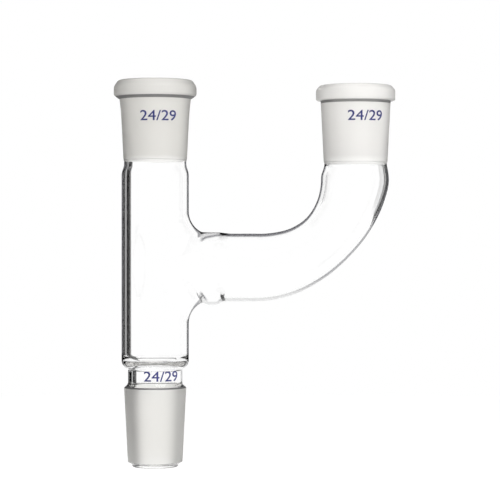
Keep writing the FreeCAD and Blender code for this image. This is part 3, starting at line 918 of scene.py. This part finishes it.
# Light. A white studio, with soft light from all round and one large soft lamp in front. What the
# glass mirrors from behind is dark. Two dark cards stand behind it, out of the picture, and only
# light that the edge of the wall bent or mirrored meets them: they draw the thick dark edges.
world = bpy.data.worlds.new("studio")
scene.world = world
world.use_nodes = True
tree = world.node_tree
path = new_node(tree, "ShaderNodeLightPath")

# How light the studio is on matte faces and where the glass mirrors what is behind it, and the steps
# by which a direction turns to straight back and away from straight down.
SOFT_LIGHT = 0.6
MIRRORED_BACK = 0.02
TURNED_BACK = {"From_Min": 0.67, "From_Max": 0.8}
OFF_THE_FLOOR = {"From_Min": -0.95, "From_Max": -0.75}
direction = wire(tree, new_node(tree, "ShaderNodeSeparateXYZ"),
                 Vector=new_node(tree, "ShaderNodeTexCoord").outputs["Generated"])
behind = wire(tree, new_node(tree, "ShaderNodeMapRange", interpolation_type="SMOOTHSTEP"),
              Value=direction.outputs["Y"], **TURNED_BACK)
across_view = wire(tree, new_node(tree, "ShaderNodeCombineXYZ"), X=direction.outputs["X"],
                   Z=direction.outputs["Z"])
heading = wire(tree, new_node(tree, "ShaderNodeVectorMath", operation="NORMALIZE"),
               _0=across_view.outputs[0])
height = wire(tree, new_node(tree, "ShaderNodeSeparateXYZ"), Vector=heading.outputs[0])
not_down = wire(tree, new_node(tree, "ShaderNodeMapRange", interpolation_type="SMOOTHSTEP"),
                Value=height.outputs["Z"], **OFF_THE_FLOOR)
mirrored = wire(tree, new_node(tree, "ShaderNodeMath", operation="SUBTRACT", use_clamp=True),
                _0=path.outputs["Is Glossy Ray"], _1=path.outputs["Is Transmission Ray"])
back = wire(tree, new_node(tree, "ShaderNodeMath", operation="MULTIPLY"),
            _0=behind.outputs["Result"], _1=not_down.outputs["Result"])
dark = wire(tree, new_node(tree, "ShaderNodeMath", operation="MULTIPLY"),
            _0=back.outputs[0], _1=mirrored.outputs[0])
white = wire(tree, new_node(tree, "ShaderNodeMix", data_type="RGBA"),
             _0=dark.outputs[0], _6=grey(1), _7=grey(MIRRORED_BACK))
soft = wire(tree, new_node(tree, "ShaderNodeMix", data_type="RGBA"),
            _0=path.outputs["Is Diffuse Ray"], _6=white.outputs[2], _7=grey(SOFT_LIGHT))
wire(tree, tree.nodes["Background"], Color=soft.outputs[2], Strength=1.0)

lamp_data = bpy.data.lights.new("soft_lamp", "AREA")
lamp_data.shape = "SQUARE"
lamp_data.size = 0.6
lamp_data.energy = 5.0
lamp = bpy.data.objects.new("soft_lamp", lamp_data)
lamp.location = (0.35, -0.6, 0.6)
lit_spot = Vector((0.035, 0, 0.04))
lamp.rotation_euler = (lit_spot - lamp.location).to_track_quat("-Z", "Y").to_euler()
scene.collection.objects.link(lamp)

# Degrees of a card's curve in one flat, and the most bounces after which light still meets it. Light
# that came straight through two walls has four behind it.
CARD_STEP = 4
MOST_BOUNCES = 3.5


def dark_card(name, edge_x, distance, foot, top, shades):
    """A curved card round the edge of the glass. Each shade is a range of bearings from straight
    back and a grey. Light with more bounces meets white instead."""
    bearings = [shades[0][0]]
    marks = []
    for number, (start, end, level) in enumerate(shades):
        count = ceil(abs(end - start) / CARD_STEP)
        bearings += [start + (end - start) * n / count for n in range(1, count + 1)]
        marks += [number] * count
    corners = []
    for bearing in bearings:
        x = edge_x + distance * sin(radians(bearing))
        y = distance * cos(radians(bearing))
        corners += [(x, y, foot), (x, y, top)]
    sides = [(2 * n, 2 * n + 1, 2 * n + 3, 2 * n + 2) for n in range(len(bearings) - 1)]
    mesh = bpy.data.meshes.new(name)
    mesh.from_pydata(corners, [], sides)
    mesh.polygons.foreach_set("material_index", marks)
    card = bpy.data.objects.new(name, mesh)
    scene.collection.objects.link(card)
    card.visible_camera = False
    card.visible_diffuse = False
    card.visible_shadow = False
    for number, (_, _, level) in enumerate(shades):
        material = bpy.data.materials.new(f"{name}_{number}")
        material.use_nodes = True
        tree = material.node_tree
        tree.nodes.remove(tree.nodes["Principled BSDF"])
        path = new_node(tree, "ShaderNodeLightPath")
        few = wire(tree, new_node(tree, "ShaderNodeMath", operation="LESS_THAN"),
                   _0=path.outputs["Ray Depth"], _1=MOST_BOUNCES)
        shade = wire(tree, new_node(tree, "ShaderNodeMix", data_type="RGBA"),
                     _0=few.outputs[0], _6=grey(1), _7=grey(level))
        shine = wire(tree, new_node(tree, "ShaderNodeEmission"), Color=shade.outputs[2],
                     Strength=path.outputs["Is Transmission Ray"])
        wire(tree, tree.nodes["Material Output"], Surface=shine.outputs[0])
        mesh.materials.append(material)


dark_card("left_card", -12 * MM, 110 * MM, -22 * MM, 125 * MM,
          [(-18, -44.5, 0.01), (-44.5, -58, 0.45), (-58, -88, 0.01)])
dark_card("right_card", side_x + 12 * MM, 30 * MM, 54 * MM, 110 * MM,
          [(16, 24, 0.25), (24, 43, 0.01), (43, 52, 0.35), (52, 60, 0.05)])
